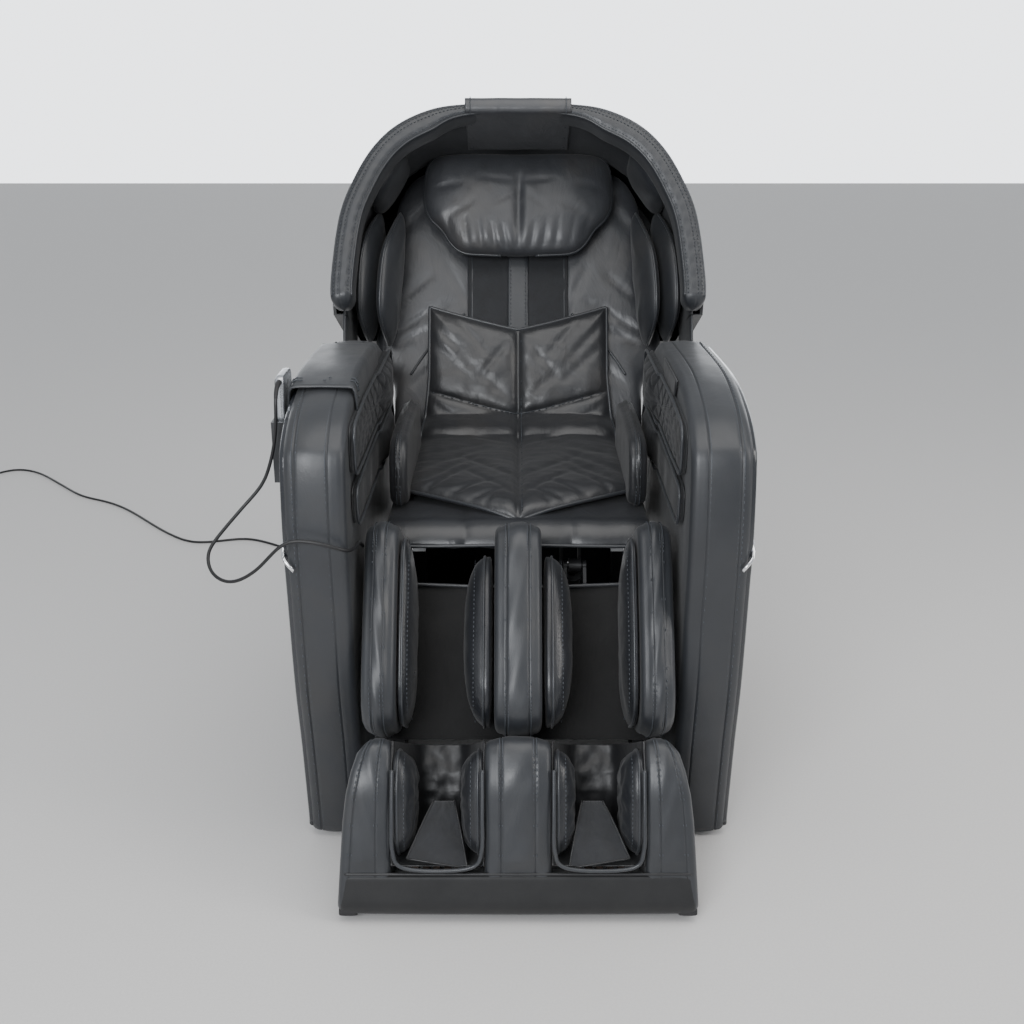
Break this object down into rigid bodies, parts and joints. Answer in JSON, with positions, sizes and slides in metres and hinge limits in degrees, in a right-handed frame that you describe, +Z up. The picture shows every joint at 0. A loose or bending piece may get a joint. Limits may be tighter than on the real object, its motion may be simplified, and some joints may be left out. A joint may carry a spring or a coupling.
{
  "type": "massage chair",
  "caption": "Hooded full-body massage chair with padded arms, quilted back and seat, head pillow, calf channels, foot wells, handset and mains cord; back, seat and leg rest move.",
  "frame": {"origin": "on the floor, on the chair's centreline, on the underside of the skid strip midway along the base rails", "axes": "+Z up; the sitter looks towards -Y; +X is the sitter's left, the side without the handset; left and right in node names are as seen from in front, so left is -X"},
  "size_m": [2.1836, 2.3792, 1.2075],
  "materials": {
    "leather": "satin",
    "fabric": "matte",
    "painted_metal": "satin",
    "steel": "brushed",
    "plastic": "satin",
    "rubber": "matte",
    "chrome_trim": "polished",
    "plywood": "matte",
    "glossy": "gloss"
  },
  "bodies": {
    "base": {"base_frame": "painted_metal", "main_axle": "steel", "floor_glides": "rubber", "base_rear_cover": "plastic", "control_box": "plastic", "air_pump": "plastic", "mains_cord": "rubber", "mains_plug": "rubber", "arm_body_left": "leather", "arm_body_right": "leather", "arm_panel_left": "plastic", "arm_panel_right": "plastic", "arm_trim_left": "chrome_trim", "arm_trim_right": "chrome_trim", "forearm_pads_left": "leather", "forearm_pads_right": "leather", "arm_saddle": "leather", "handset_pocket": "leather", "handset_cord": "rubber"},
    "wheel_left": {"transport_wheel_left": "rubber"},
    "wheel_right": {"transport_wheel_right": "rubber"},
    "rocker": {"power_rocker": "glossy"},
    "handset_unit": {"handset": "glossy"},
    "seat": {"seat_frame": "painted_metal", "seat_pan": "plywood", "seat_cushion": "leather", "seat_pad": "leather", "hip_bolster_left": "leather", "hip_bolster_right": "leather"},
    "tilt_motor": {"tilt_actuator_body": "plastic"},
    "tilt_rod": {"tilt_actuator_rod": "steel"},
    "back_motor": {"back_actuator_body": "plastic"},
    "back_rod": {"back_actuator_rod": "steel"},
    "leg_motor": {"leg_actuator_body": "plastic"},
    "leg_rod": {"leg_actuator_rod": "steel"},
    "back": {"back_frame": "painted_metal", "back_shell": "plastic", "hood_rim": "leather", "hood_lining": "leather", "back_cushion": "leather", "spine_fabric": "fabric", "back_pad": "leather", "pillow_flap": "leather", "shoulder_airbags_left": "leather", "shoulder_airbags_right": "leather", "wing_pads": "leather"},
    "pillow": {"head_pillow": "leather"},
    "carriage_unit": {"carriage": "painted_metal"},
    "kneader": {"roller_head": "steel"},
    "roller_top": {"rollers_upper": "plastic"},
    "roller_bottom": {"rollers_lower": "plastic"},
    "leg": {"leg_frame": "painted_metal", "calf_pillar_left": "leather", "calf_pillar_right": "leather", "calf_centre": "leather", "calf_airbags": "fabric"},
    "foot": {"foot_housing": "leather", "foot_airbags": "fabric"},
    "sole_left": {"foot_roller_left": "plastic"},
    "sole_right": {"foot_roller_right": "plastic"}
  },
  "joints": [
    {"name": "seat_tilt", "type": "hinge", "parent": "base", "child": "seat", "pos_m": [0, 0.2, 0.4], "axis": [-1, 0, 0], "range_deg": [0, 12]},
    {"name": "recline", "type": "hinge", "parent": "seat", "child": "back", "pos_m": [0, 0.2, 0.4], "axis": [-1, 0, 0], "range_deg": [0, 35]},
    {"name": "leg_lift", "type": "hinge", "parent": "seat", "child": "leg", "pos_m": [0, -0.215, 0.463], "axis": [-1, 0, 0], "range_deg": [0, 50]},
    {"name": "foot_extend", "type": "slide", "parent": "leg", "child": "foot", "axis": [0, -0.5299, -0.848], "range_m": [0, 0.1]},
    {"name": "pillow_flip", "type": "hinge", "parent": "back", "child": "pillow", "pos_m": [0, 0.38962, 1.10078], "axis": [-1, 0, 0], "range_deg": [0, 70]},
    {"name": "carriage_travel", "type": "slide", "parent": "back", "child": "carriage_unit", "axis": [0, 0.4172, 0.9088], "range_m": [0, 0.33]},
    {"name": "knead", "type": "hinge", "parent": "carriage_unit", "child": "kneader", "pos_m": [0, 0.30947, 0.61933], "axis": [-1, 0, 0], "range_deg": [-10, 10]},
    {"name": "roller_top_spin", "type": "hinge", "parent": "kneader", "child": "roller_top", "pos_m": [0, 0.3137, 0.6669], "axis": [-1, 0, 0], "continuous": true},
    {"name": "roller_bottom_spin", "type": "hinge", "parent": "kneader", "child": "roller_bottom", "pos_m": [0, 0.27616, 0.5851], "axis": [-1, 0, 0], "continuous": true},
    {"name": "sole_left_spin", "type": "hinge", "parent": "foot", "child": "sole_left", "pos_m": [0, -0.60769, 0.04214], "axis": [-1, 0, 0], "continuous": true},
    {"name": "sole_right_spin", "type": "hinge", "parent": "foot", "child": "sole_right", "pos_m": [0, -0.60769, 0.04214], "axis": [-1, 0, 0], "continuous": true},
    {"name": "wheel_left_spin", "type": "hinge", "parent": "base", "child": "wheel_left", "pos_m": [0, 0.455, 0.036], "axis": [-1, 0, 0], "continuous": true},
    {"name": "wheel_right_spin", "type": "hinge", "parent": "base", "child": "wheel_right", "pos_m": [0, 0.455, 0.036], "axis": [-1, 0, 0], "continuous": true},
    {"name": "rocker_press", "type": "hinge", "parent": "base", "child": "rocker", "pos_m": [0.13, 0.435, 0.15], "axis": [-1, 0, 0], "range_deg": [0, 8]},
    {"name": "handset_lift", "type": "slide", "parent": "base", "child": "handset_unit", "axis": [0, 0, 1], "range_m": [0, 0.12]},
    {"name": "tilt_motor_swing", "type": "hinge", "parent": "base", "child": "tilt_motor", "pos_m": [0, -0.09, 0.13], "axis": [-1, 0, 0], "range_deg": [0, 5.99]},
    {"name": "tilt_rod_slide", "type": "slide", "parent": "tilt_motor", "child": "tilt_rod", "axis": [0, -0.4008, 0.9162], "range_m": [0, 0.07712]},
    {"name": "back_motor_swing", "type": "hinge", "parent": "seat", "child": "back_motor", "pos_m": [0, 0.005, 0.38], "axis": [-1, 0, 0], "range_deg": [0, 3.64]},
    {"name": "back_rod_slide", "type": "slide", "parent": "back_motor", "child": "back_rod", "axis": [0, -0.9876, 0.1571], "range_m": [0, 0.03397]},
    {"name": "leg_motor_swing", "type": "hinge", "parent": "seat", "child": "leg_motor", "pos_m": [0, -0.07, 0.33], "axis": [-1, 0, 0], "range_deg": [0, 3.95]},
    {"name": "leg_rod_slide", "type": "slide", "parent": "leg_motor", "child": "leg_rod", "axis": [0, -0.8619, 0.507], "range_m": [0, 0.03222]}
  ],
  "couplings": [
    {"joint": "foot_extend", "follows": "leg_lift", "m_per_rad": 0.11459},
    {"joint": "tilt_motor_swing", "follows": "seat_tilt", "ratio": 0.49955},
    {"joint": "tilt_rod_slide", "follows": "seat_tilt", "m_per_rad": 0.36823},
    {"joint": "back_motor_swing", "follows": "recline", "ratio": 0.10395},
    {"joint": "back_rod_slide", "follows": "recline", "m_per_rad": 0.055614},
    {"joint": "leg_motor_swing", "follows": "leg_lift", "ratio": 0.079079},
    {"joint": "leg_rod_slide", "follows": "leg_lift", "m_per_rad": 0.036924}
  ]
}
